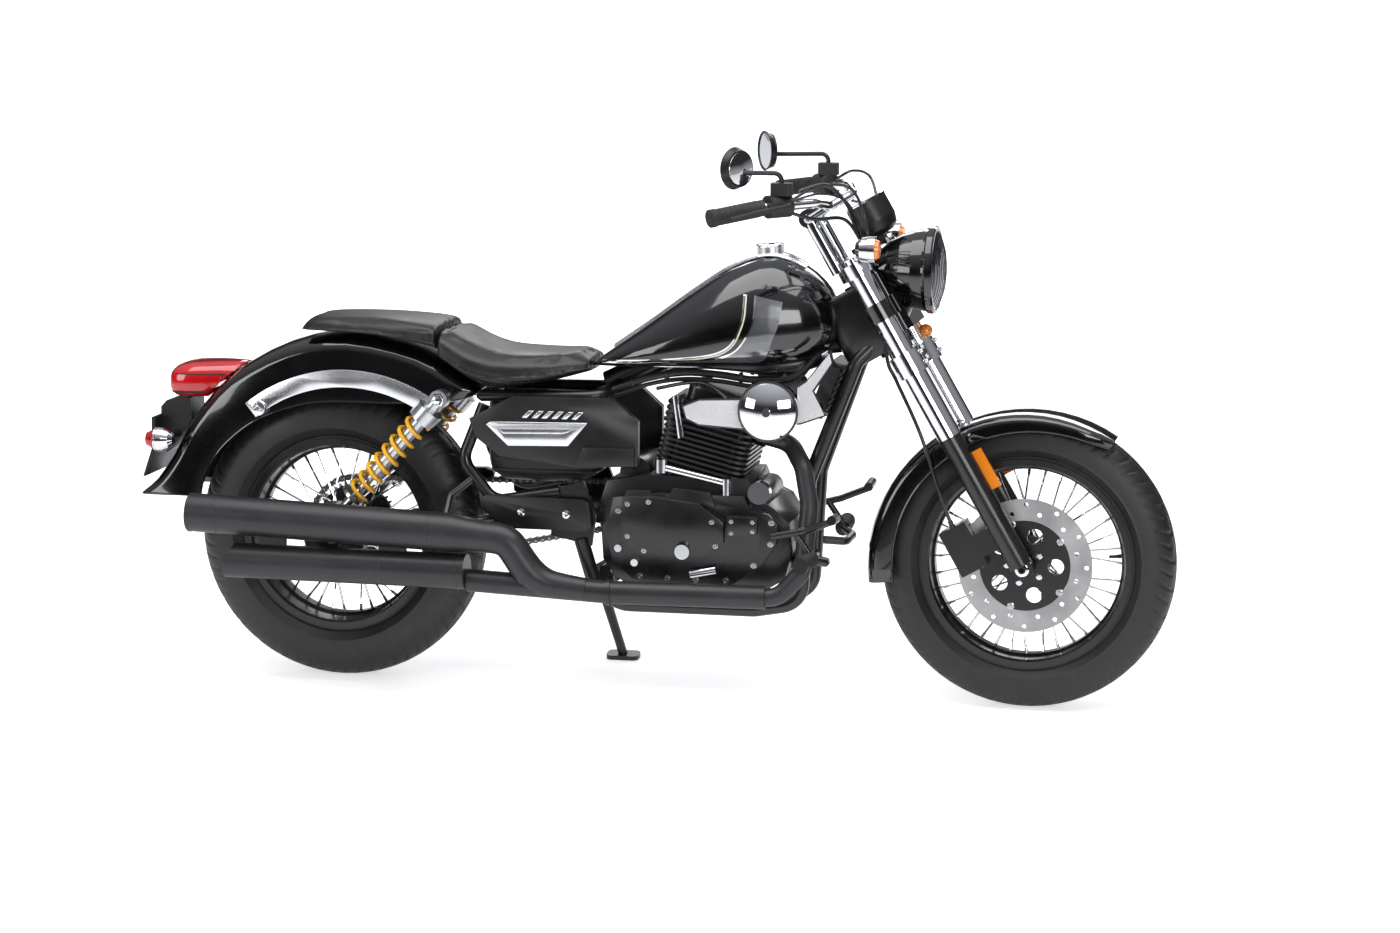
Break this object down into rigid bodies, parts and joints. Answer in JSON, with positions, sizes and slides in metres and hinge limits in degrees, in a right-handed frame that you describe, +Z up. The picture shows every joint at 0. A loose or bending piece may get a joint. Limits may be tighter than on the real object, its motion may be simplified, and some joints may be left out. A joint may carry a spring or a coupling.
{
  "type": "cruiser motorcycle",
  "caption": "Cruiser motorcycle leaning on its side stand: wire wheels, teardrop tank, stepped seat, stacked twin mufflers, pull-back bars; wheels, steering and stand move.",
  "frame": {"origin": "middle of the bounding box, at the ground", "axes": "+X forwards, +Y to the rider's left, +Z up; the machine leans 7 degrees to +Y on its side stand"},
  "size_m": [2.289, 0.8418, 1.2356],
  "materials": {
    "satin_black": "satin",
    "gloss_black": "gloss",
    "matte_black": "matte",
    "steel": "satin",
    "chrome": "polished",
    "spring_yellow": "gloss",
    "black_plastic": "matte",
    "red_lens": "gloss",
    "amber_lens": "gloss",
    "seat_cover": "satin",
    "black_rubber": "matte",
    "chain_steel": "oiled",
    "lamp_glass": "clear",
    "tyre": "matte",
    "disc_steel": "drilled and brushed"
  },
  "bodies": {
    "frame": {"frame_upper": "satin_black", "frame_cradle": "satin_black", "swingarm": "satin_black", "shock_bodies": "steel", "shock_springs": "spring_yellow", "rear_fender": "gloss_black", "fender_struts": "chrome", "plate_bracket": "black_plastic", "tail_lamp": "red_lens", "rear_signals": "chrome", "rider_seat": "seat_cover", "pillion_seat": "seat_cover", "fuel_tank": "gloss_black", "tank_console": "chrome", "side_covers": "black_plastic", "side_grilles": "chrome", "crankcase": "satin_black", "engine_covers": "satin_black", "engine_trim": "chrome", "engine_cylinder": "satin_black", "cylinder_head": "satin_black", "air_cleaner": "chrome", "radiator": "black_plastic", "exhaust_pipes": "matte_black", "mufflers": "matte_black", "foot_controls": "satin_black", "drive_chain": "chain_steel", "chain_guard": "black_plastic"},
    "steering": {"fork_upper": "chrome", "fork_lowers": "satin_black", "front_fender": "gloss_black", "handlebar": "chrome", "bar_controls": "black_rubber", "mirrors": "black_plastic", "instrument_pod": "black_plastic", "headlamp_bucket": "gloss_black", "headlamp_lens": "lamp_glass", "front_signals": "chrome", "amber_lenses": "amber_lens"},
    "front_wheel": {"front_tyre": "tyre", "front_wheel": "satin_black", "front_disc": "disc_steel"},
    "rear_wheel": {"rear_tyre": "tyre", "rear_wheel": "satin_black"},
    "side_stand": {"side_stand": "satin_black"}
  },
  "joints": [
    {"name": "steering", "type": "hinge", "parent": "frame", "child": "steering", "pos_m": [0.49919, -0.03058, 0.81189], "axis": [-0.5, 0.1055, 0.8596], "range_deg": [-35, 35]},
    {"name": "front_wheel_spin", "type": "hinge", "parent": "steering", "child": "front_wheel", "pos_m": [0.8295, -0.09177, 0.31352], "axis": [0, 0.9925, -0.1219], "continuous": true},
    {"name": "rear_wheel_spin", "type": "hinge", "parent": "frame", "child": "rear_wheel", "pos_m": [-0.6905, -0.09092, 0.32047], "axis": [0, 0.9925, -0.1219], "continuous": true},
    {"name": "side_stand_fold", "type": "hinge", "parent": "frame", "child": "side_stand", "pos_m": [-0.1425, 0.01701, 0.19841], "axis": [0.1684, 0.9594, 0.2263], "range_deg": [0, 101.5]}
  ]
}
